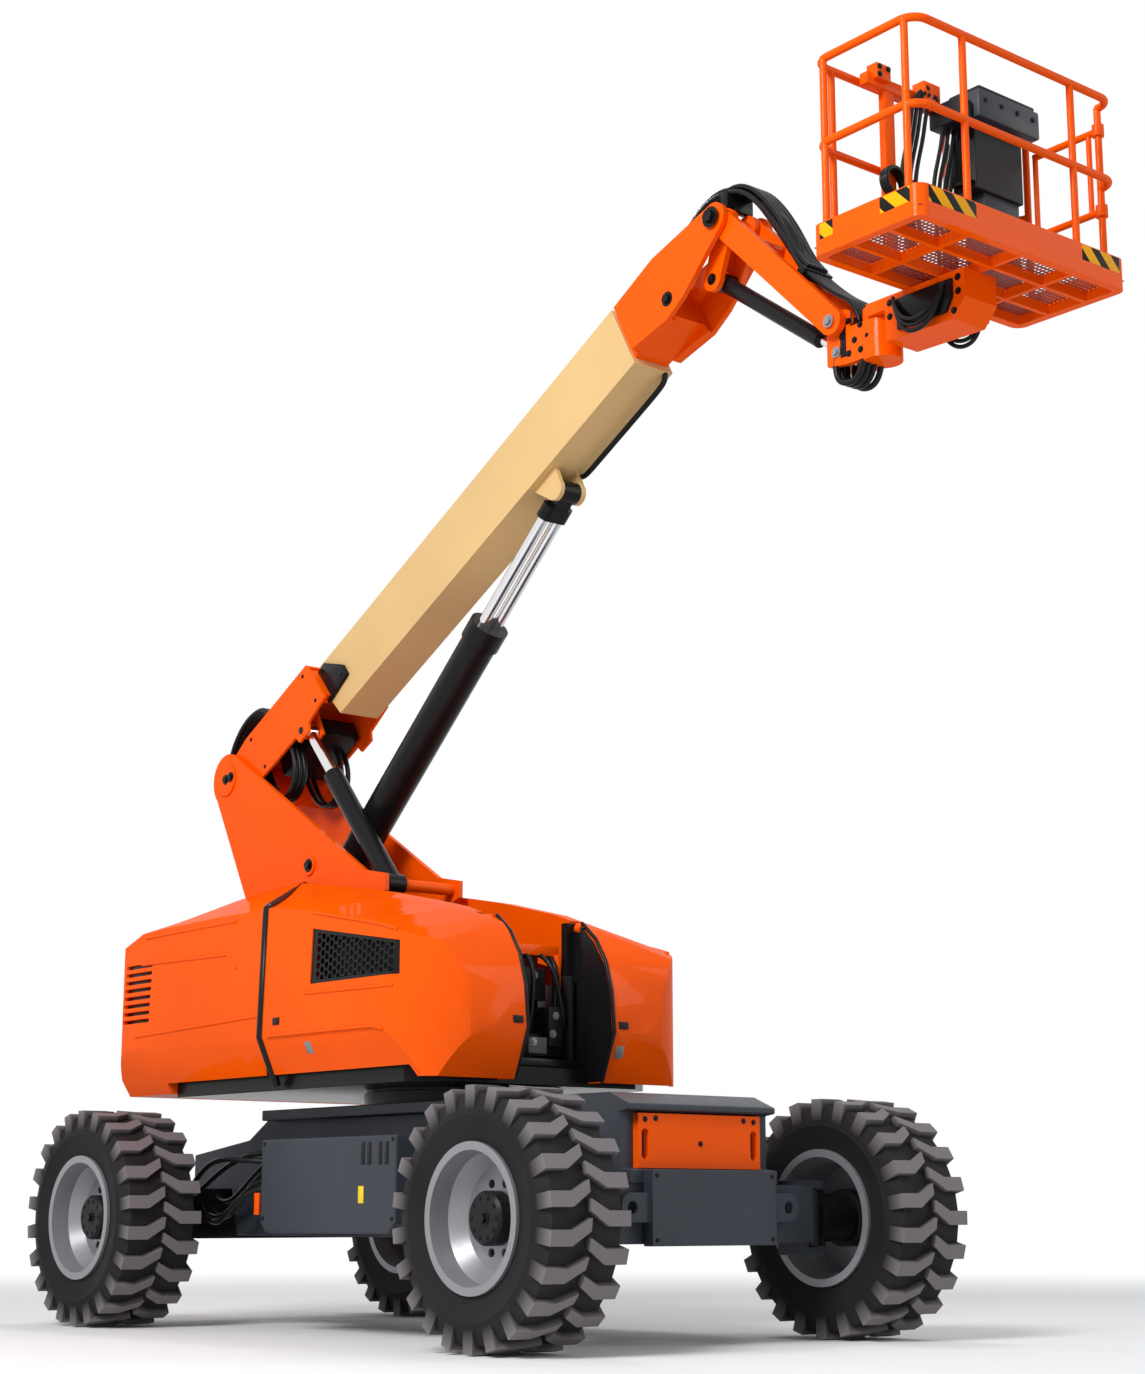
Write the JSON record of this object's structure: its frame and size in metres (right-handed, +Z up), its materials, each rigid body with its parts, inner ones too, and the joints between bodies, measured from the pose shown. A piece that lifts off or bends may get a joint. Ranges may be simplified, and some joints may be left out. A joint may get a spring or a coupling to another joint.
{
  "type": "boom lift",
  "caption": "Self-propelled boom lift: four-wheel chassis, swinging turntable with lift-up hoods, telescopic boom, jib and turning railed platform.",
  "frame": {"origin": "on the ground under the middle of the whole machine", "axes": "+X ahead, the platform end; +Y to the machine's left; +Z up"},
  "size_m": [6.872, 2.802, 6.13],
  "materials": {
    "orange_paint": "gloss",
    "cream_paint": "gloss",
    "slate_paint": "satin",
    "black_paint": "satin",
    "cast_grey": "matt",
    "bare_mesh": "satin",
    "dark_plastic": "matt",
    "chrome_rod": "polished",
    "tyre_rubber": "matt",
    "silver_paint": "satin",
    "hub_black": "satin"
  },
  "bodies": {
    "chassis": {"chassis_frame": "slate_paint", "side_boxes": "slate_paint", "front_beam": "slate_paint", "front_cover": "orange_paint", "front_axle": "slate_paint", "rear_axle": "black_paint", "swing_bearing": "black_paint"},
    "knuckle_right": {"knuckle_right": "black_paint"},
    "knuckle_left": {"knuckle_left": "black_paint"},
    "turntable": {"turntable_base": "black_paint", "tower": "orange_paint", "counterweight": "orange_paint", "rear_cover_right": "orange_paint", "rear_cover_left": "orange_paint", "hood_posts": "black_paint", "engine_block": "cast_grey", "tank_block": "cast_grey"},
    "hood_right": {"hood_right": "orange_paint", "vent_right": "black_paint"},
    "hood_left": {"hood_left": "orange_paint", "vent_left": "black_paint"},
    "boom": {"boom_base": "orange_paint", "boom_tube": "cream_paint"},
    "fly": {"fly": "orange_paint"},
    "jib_mount": {"jib_mount": "orange_paint"},
    "jib": {"jib_arm": "orange_paint"},
    "platform_support": {"platform_support": "orange_paint"},
    "platform": {"platform_arm": "orange_paint", "platform_floor": "orange_paint", "platform_deck": "bare_mesh", "toe_board": "orange_paint", "guard_rail": "orange_paint", "control_console": "dark_plastic"},
    "gate": {"gate": "orange_paint"},
    "lift_rod": {"lift_rods": "chrome_rod", "lift_yoke": "black_paint"},
    "lift_barrel": {"lift_barrel": "black_paint"},
    "level_barrel": {"level_barrel": "black_paint"},
    "level_rod": {"level_rod": "chrome_rod"},
    "jib_barrel": {"jib_barrel": "black_paint"},
    "jib_rod": {"jib_rod": "chrome_rod"},
    "wheel_front_right": {"tyre_front_right": "tyre_rubber", "rim_front_right": "silver_paint", "hub_front_right": "hub_black"},
    "wheel_front_left": {"tyre_front_left": "tyre_rubber", "rim_front_left": "silver_paint", "hub_front_left": "hub_black"},
    "wheel_rear_right": {"tyre_rear_right": "tyre_rubber", "rim_rear_right": "silver_paint", "hub_rear_right": "hub_black"},
    "wheel_rear_left": {"tyre_rear_left": "tyre_rubber", "rim_rear_left": "silver_paint", "hub_rear_left": "hub_black"}
  },
  "joints": [
    {"name": "turntable_swing", "type": "hinge", "parent": "chassis", "child": "turntable", "pos_m": [-0.901, 0, 1.31], "axis": [0, 0, 1], "continuous": true},
    {"name": "steer_right", "type": "hinge", "parent": "chassis", "child": "knuckle_right", "pos_m": [1.009, -0.86, 0.625], "axis": [0, 0, 1], "range_deg": [-35, 35]},
    {"name": "steer_left", "type": "hinge", "parent": "chassis", "child": "knuckle_left", "pos_m": [1.009, 0.86, 0.625], "axis": [0, 0, 1], "range_deg": [-35, 35]},
    {"name": "hood_right_open", "type": "hinge", "parent": "turntable", "child": "hood_right", "pos_m": [-2.051, -0.372, 2.578], "axis": [-0.9807, -0.0276, 0.1935], "range_deg": [0, 60]},
    {"name": "hood_left_open", "type": "hinge", "parent": "turntable", "child": "hood_left", "pos_m": [-2.051, 0.372, 2.578], "axis": [0.9807, -0.0276, -0.1935], "range_deg": [0, 60]},
    {"name": "boom_lift", "type": "hinge", "parent": "turntable", "child": "boom", "pos_m": [-3.101, 0, 3.4], "axis": [0, -1, 0], "range_deg": [-26, 46.7]},
    {"name": "fly_slide", "type": "slide", "parent": "boom", "child": "fly", "axis": [0.8805, 0, 0.4741], "range_m": [0, 2.3]},
    {"name": "mount_level", "type": "hinge", "parent": "fly", "child": "jib_mount", "pos_m": [1.47281, 0, 5.81277], "axis": [0, -1, 0], "range_deg": [-46.7, 26]},
    {"name": "jib_lift", "type": "hinge", "parent": "jib_mount", "child": "jib", "pos_m": [1.47281, 0, 5.81277], "axis": [0, -1, 0], "range_deg": [-20, 90]},
    {"name": "support_level", "type": "hinge", "parent": "jib", "child": "platform_support", "pos_m": [2.28, 0, 5], "axis": [0, -1, 0], "range_deg": [-90, 20]},
    {"name": "platform_rotate", "type": "hinge", "parent": "platform_support", "child": "platform", "pos_m": [2.499, 0, 4.96], "axis": [0, 0, 1], "range_deg": [-90, 90]},
    {"name": "gate_open", "type": "hinge", "parent": "platform", "child": "gate", "pos_m": [3.321, 0.717, 5.595], "axis": [0, 0, 1], "range_deg": [0, 90]},
    {"name": "lift_eye", "type": "hinge", "parent": "boom", "child": "lift_rod", "pos_m": [0.02916, 0, 4.66973], "axis": [0, -1, 0], "range_deg": [-1.6, 2.6]},
    {"name": "lift_stroke", "type": "slide", "parent": "lift_rod", "child": "lift_barrel", "axis": [-0.7394, 0, -0.6733], "range_m": [-0.56, 0.92]},
    {"name": "level_eye", "type": "hinge", "parent": "boom", "child": "level_rod", "pos_m": [-2.301, -0.18, 3.61], "axis": [0, -1, 0], "range_deg": [-54, 33]},
    {"name": "level_stroke", "type": "slide", "parent": "level_rod", "child": "level_barrel", "axis": [0.6595, 0, -0.7517], "range_m": [-0.335, 0.545]},
    {"name": "jib_base", "type": "hinge", "parent": "jib_mount", "child": "jib_barrel", "pos_m": [1.369, 0, 5.52], "axis": [0, -1, 0], "range_deg": [-18.8, 84]},
    {"name": "jib_stroke", "type": "slide", "parent": "jib_barrel", "child": "jib_rod", "axis": [0.8036, 0, -0.5952], "range_m": [-0.052, 0.225]},
    {"name": "spin_front_right", "type": "hinge", "parent": "knuckle_right", "child": "wheel_front_right", "pos_m": [1.009, -1.156, 0.625], "axis": [0, 1, 0], "continuous": true},
    {"name": "spin_front_left", "type": "hinge", "parent": "knuckle_left", "child": "wheel_front_left", "pos_m": [1.009, 1.156, 0.625], "axis": [0, 1, 0], "continuous": true},
    {"name": "spin_rear_right", "type": "hinge", "parent": "chassis", "child": "wheel_rear_right", "pos_m": [-2.811, -1.156, 0.625], "axis": [0, 1, 0], "continuous": true},
    {"name": "spin_rear_left", "type": "hinge", "parent": "chassis", "child": "wheel_rear_left", "pos_m": [-2.811, 1.156, 0.625], "axis": [0, 1, 0], "continuous": true}
  ],
  "couplings": [
    {"joint": "steer_left", "follows": "steer_right", "ratio": 1},
    {"joint": "mount_level", "follows": "boom_lift", "ratio": -1},
    {"joint": "support_level", "follows": "jib_lift", "ratio": -1},
    {"joint": "lift_eye", "follows": "boom_lift", "ratio": 0.05},
    {"joint": "lift_stroke", "follows": "boom_lift", "m_per_rad": 1.11},
    {"joint": "level_eye", "follows": "boom_lift", "ratio": -1.15},
    {"joint": "level_stroke", "follows": "boom_lift", "m_per_rad": 0.66},
    {"joint": "jib_base", "follows": "jib_lift", "ratio": 0.93},
    {"joint": "jib_stroke", "follows": "jib_lift", "m_per_rad": 0.14}
  ]
}
